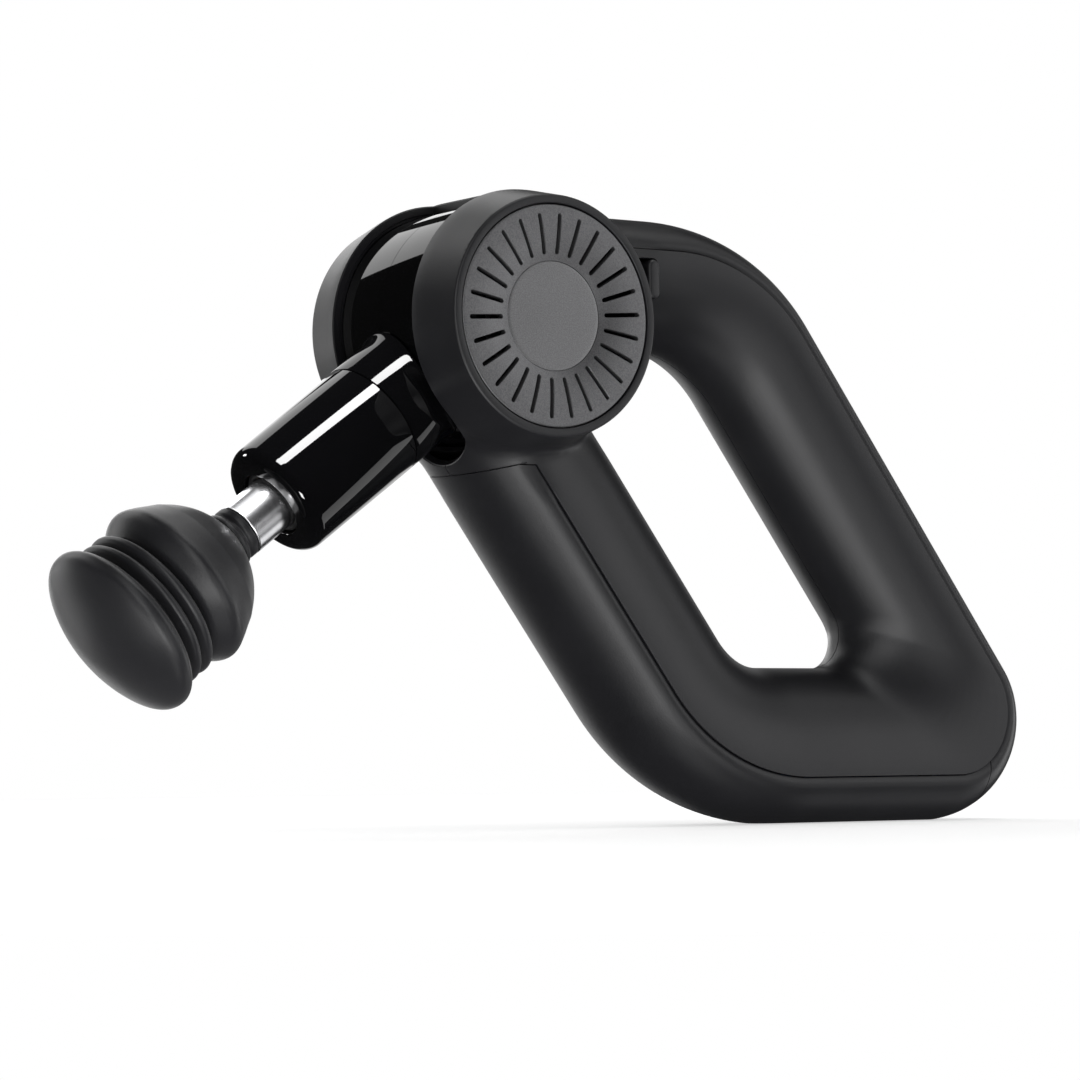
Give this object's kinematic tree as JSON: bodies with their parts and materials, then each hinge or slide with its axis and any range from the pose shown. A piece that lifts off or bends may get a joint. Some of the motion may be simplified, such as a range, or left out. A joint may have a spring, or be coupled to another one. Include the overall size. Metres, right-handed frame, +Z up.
{
  "type": "massage gun",
  "caption": "Loop-handled massage gun with a vented hub, a tilting gloss arm, a chrome push-rod and a domed bellows head.",
  "frame": {"origin": "middle of the flat strip under the base of the handle", "axes": "+X from the massage head towards the handle, +Y along the hub axis towards the left side, +Z up"},
  "size_m": [0.3266, 0.0756, 0.1828],
  "materials": {
    "arm_neck": "piano black",
    "arm_sleeve": "piano black",
    "base_cell_holder_front": "moulded plastic",
    "base_cell_holder_rear": "moulded plastic",
    "battery_cell_1": "heat-shrink wrapped steel can",
    "battery_cell_2": "heat-shrink wrapped steel can",
    "battery_cell_3": "heat-shrink wrapped steel can",
    "battery_cell_4": "heat-shrink wrapped steel can",
    "bush_carrier": "turned aluminium",
    "charge_port": "drawn steel shell",
    "chrome_socket": "polished chrome",
    "control_bezel": "polished black plastic",
    "control_board": "circuit board laminate",
    "crank_disc": "turned steel",
    "crank_roller": "ground steel",
    "detent_leaf": "spring steel",
    "display_window": "smoked clear plastic",
    "drive_yoke": "machined steel",
    "front_grip_band": "soft-touch coating",
    "head_bellows": "satin silicone",
    "head_cup": "satin silicone",
    "head_dome": "satin silicone",
    "head_stem": "satin moulded plastic",
    "index_plate": "blanked steel",
    "left_cap_disc": "fine metallic satin paint",
    "left_drum_half": "piano black",
    "left_hub_bearing": "low-friction bearing plastic",
    "left_shell": "satin moulded charcoal plastic",
    "left_vent_cap": "fine metallic satin paint",
    "linear_bush": "sintered bronze",
    "lock_leaf_spring": "spring steel",
    "lock_slider": "satin moulded plastic",
    "middle_cell_holder": "moulded plastic",
    "minus_button": "satin key cap",
    "motor_bearing": "ground steel",
    "motor_shaft": "ground steel",
    "motor_stator": "laminated steel",
    "plus_button": "satin key cap",
    "power_button": "satin key cap",
    "rear_band": "satin soft-touch plastic",
    "right_cap_disc": "fine metallic satin paint",
    "right_drum_half": "piano black",
    "right_hub_bearing": "low-friction bearing plastic",
    "right_shell": "satin moulded charcoal plastic",
    "right_vent_cap": "fine metallic satin paint",
    "rotor_can": "drawn steel",
    "stator_winding": "enamelled copper",
    "upper_cell_holder": "moulded plastic",
    "wiper_seal": "moulded rubber"
  },
  "bodies": {
    "housing": {"left_shell": "left_shell", "right_shell": "right_shell", "front_grip_band": "front_grip_band", "rear_band": "rear_band", "left_vent_cap": "left_vent_cap", "right_vent_cap": "right_vent_cap", "left_cap_disc": "left_cap_disc", "right_cap_disc": "right_cap_disc", "left_hub_bearing": "left_hub_bearing", "right_hub_bearing": "right_hub_bearing", "detent_leaf": "detent_leaf", "lock_leaf_spring": "lock_leaf_spring", "battery_cell_1": "battery_cell_1", "battery_cell_2": "battery_cell_2", "battery_cell_3": "battery_cell_3", "battery_cell_4": "battery_cell_4", "upper_cell_holder": "upper_cell_holder", "middle_cell_holder": "middle_cell_holder", "base_cell_holder_front": "base_cell_holder_front", "base_cell_holder_rear": "base_cell_holder_rear", "control_bezel": "control_bezel", "display_window": "display_window", "control_board": "control_board", "charge_port": "charge_port"},
    "arm": {"left_drum_half": "left_drum_half", "right_drum_half": "right_drum_half", "arm_neck": "arm_neck", "arm_sleeve": "arm_sleeve", "bush_carrier": "bush_carrier", "linear_bush": "linear_bush", "wiper_seal": "wiper_seal", "motor_stator": "motor_stator", "stator_winding": "stator_winding", "motor_bearing": "motor_bearing", "index_plate": "index_plate"},
    "rotor": {"rotor_can": "rotor_can", "motor_shaft": "motor_shaft", "crank_disc": "crank_disc", "crank_roller": "crank_roller"},
    "piston": {"drive_yoke": "drive_yoke", "chrome_socket": "chrome_socket"},
    "head": {"head_stem": "head_stem", "head_cup": "head_cup", "head_bellows": "head_bellows", "head_dome": "head_dome"},
    "lock": {"lock_slider": "lock_slider"},
    "power_key": {"power_button": "power_button"},
    "plus_key": {"plus_button": "plus_button"},
    "minus_key": {"minus_button": "minus_button"}
  },
  "joints": [
    {"name": "arm_tilt", "type": "hinge", "parent": "housing", "child": "arm", "pos_m": [-0.1306, 0, 0.1448], "axis": [0, 1, 0], "range_deg": [0, 90]},
    {"name": "crank_turn", "type": "hinge", "parent": "arm", "child": "rotor", "pos_m": [-0.1306, 0, 0.1448], "axis": [0, 1, 0], "range_deg": [0, 180]},
    {"name": "piston_stroke", "type": "slide", "parent": "arm", "child": "piston", "axis": [-0.8018, 0, -0.5976], "range_m": [-0.0121, 0]},
    {"name": "head_pull", "type": "slide", "parent": "piston", "child": "head", "axis": [-0.8018, 0, -0.5976], "range_m": [0, 0.029]},
    {"name": "lock_slide", "type": "slide", "parent": "housing", "child": "lock", "axis": [-1, 0, 0], "range_m": [0, 0.0035], "stiffness_N_per_m": 250},
    {"name": "power_press", "type": "slide", "parent": "housing", "child": "power_key", "axis": [-0.8018, 0, -0.5976], "range_m": [0, 0.0008], "stiffness_N_per_m": 600},
    {"name": "plus_press", "type": "slide", "parent": "housing", "child": "plus_key", "axis": [-0.8018, 0, -0.5976], "range_m": [0, 0.0008], "stiffness_N_per_m": 600},
    {"name": "minus_press", "type": "slide", "parent": "housing", "child": "minus_key", "axis": [-0.8018, 0, -0.5976], "range_m": [0, 0.0008], "stiffness_N_per_m": 600}
  ],
  "couplings": [
    {"joint": "piston_stroke", "follows": "crank_turn", "m_per_rad": -0.0038197}
  ]
}
